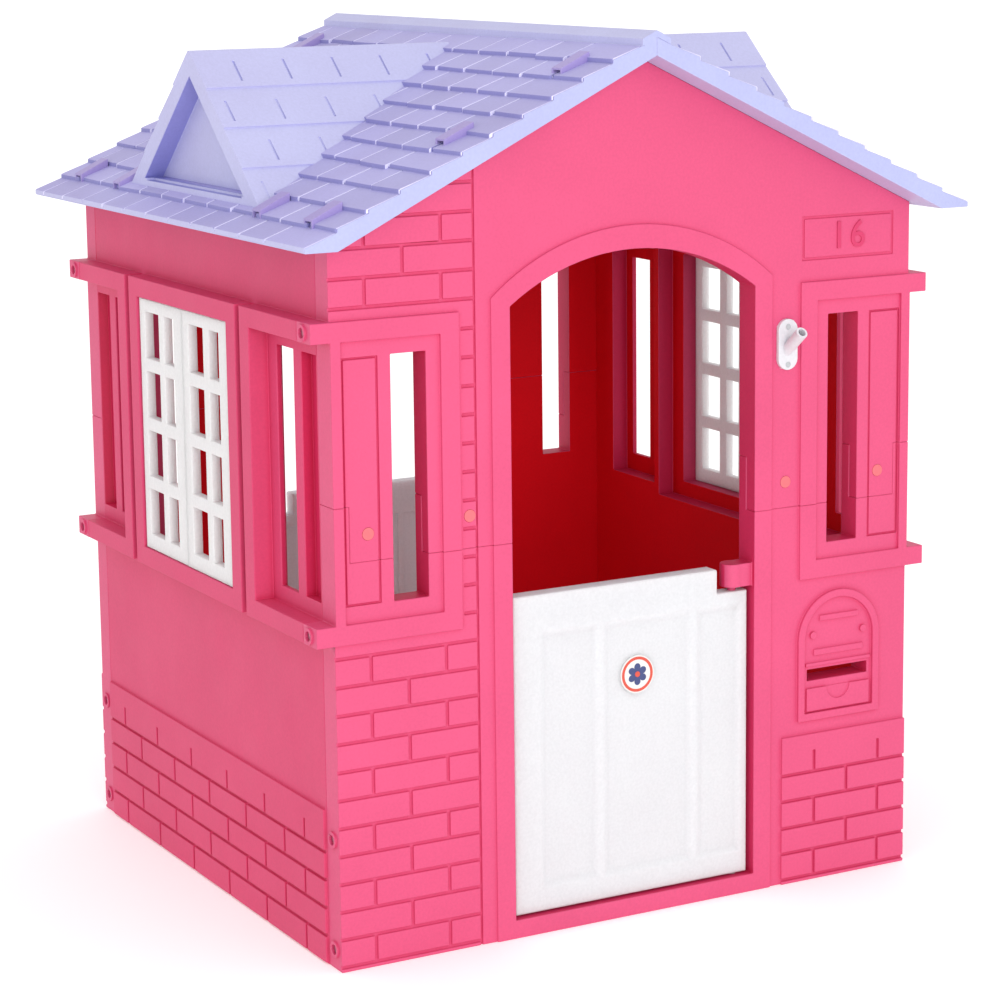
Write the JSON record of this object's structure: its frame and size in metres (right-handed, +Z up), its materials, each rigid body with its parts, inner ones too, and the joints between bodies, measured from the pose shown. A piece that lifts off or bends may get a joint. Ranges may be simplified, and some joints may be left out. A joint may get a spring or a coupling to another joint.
{
  "type": "plastic playhouse",
  "caption": "Moulded plastic playhouse with arched doorways, swinging half doors, hinged window shutters, a mail slot and a shingled gable roof with side dormers.",
  "frame": {"origin": "middle of the footprint, on the floor", "axes": "+Z up; the front wall faces -Y; the wall at the left of someone facing the front is at -X"},
  "size_m": [1.036, 0.971, 1.235],
  "materials": {
    "pink_shell": "satin moulded plastic",
    "lavender_roof": "satin moulded plastic",
    "white_door": "satin moulded plastic",
    "white_shutter": "satin moulded plastic",
    "white_trim": "smooth moulded plastic",
    "pink_pins": "smooth plastic",
    "coral_plugs": "smooth plastic",
    "badge_label": "printed vinyl label",
    "steel_screws": "zinc plated"
  },
  "bodies": {
    "house": {"front_wall_lower": "pink_shell", "front_wall_upper": "pink_shell", "back_wall_lower": "pink_shell", "back_wall_upper": "pink_shell", "left_side_wall": "pink_shell", "right_side_wall": "pink_shell", "roof_left": "lavender_roof", "roof_right": "lavender_roof", "ridge_screws": "steel_screws", "front_door_pin": "pink_pins", "back_door_pin": "pink_pins", "flag_holder": "white_trim", "flag_holder_screws": "steel_screws", "front_seam_screws": "steel_screws", "back_seam_screws": "steel_screws", "front_seam_plugs": "coral_plugs", "back_seam_plugs": "coral_plugs", "left_corner_screws": "steel_screws", "right_corner_screws": "steel_screws"},
    "front_door": {"front_door": "white_door", "door_badge": "badge_label"},
    "back_door": {"back_door": "white_door"},
    "left_front_shutter": {"left_front_shutter": "white_shutter"},
    "left_back_shutter": {"left_back_shutter": "white_shutter"},
    "right_front_shutter": {"right_front_shutter": "white_shutter"},
    "right_back_shutter": {"right_back_shutter": "white_shutter"}
  },
  "joints": [
    {"name": "front_door_hinge", "type": "hinge", "parent": "house", "child": "front_door", "pos_m": [0.17, -0.4075, 0.25], "axis": [0, 0, 1], "range_deg": [-90, 100]},
    {"name": "back_door_hinge", "type": "hinge", "parent": "house", "child": "back_door", "pos_m": [-0.17, 0.4075, 0.25], "axis": [0, 0, 1], "range_deg": [-90, 100]},
    {"name": "left_front_shutter_hinge", "type": "hinge", "parent": "house", "child": "left_front_shutter", "pos_m": [-0.479, -0.152, 0.66], "axis": [0, 0, 1], "range_deg": [0, 90]},
    {"name": "left_back_shutter_hinge", "type": "hinge", "parent": "house", "child": "left_back_shutter", "pos_m": [-0.479, 0.152, 0.66], "axis": [0, 0, -1], "range_deg": [0, 90]},
    {"name": "right_front_shutter_hinge", "type": "hinge", "parent": "house", "child": "right_front_shutter", "pos_m": [0.479, -0.152, 0.66], "axis": [0, 0, -1], "range_deg": [0, 90]},
    {"name": "right_back_shutter_hinge", "type": "hinge", "parent": "house", "child": "right_back_shutter", "pos_m": [0.479, 0.152, 0.66], "axis": [0, 0, 1], "range_deg": [0, 90]}
  ]
}
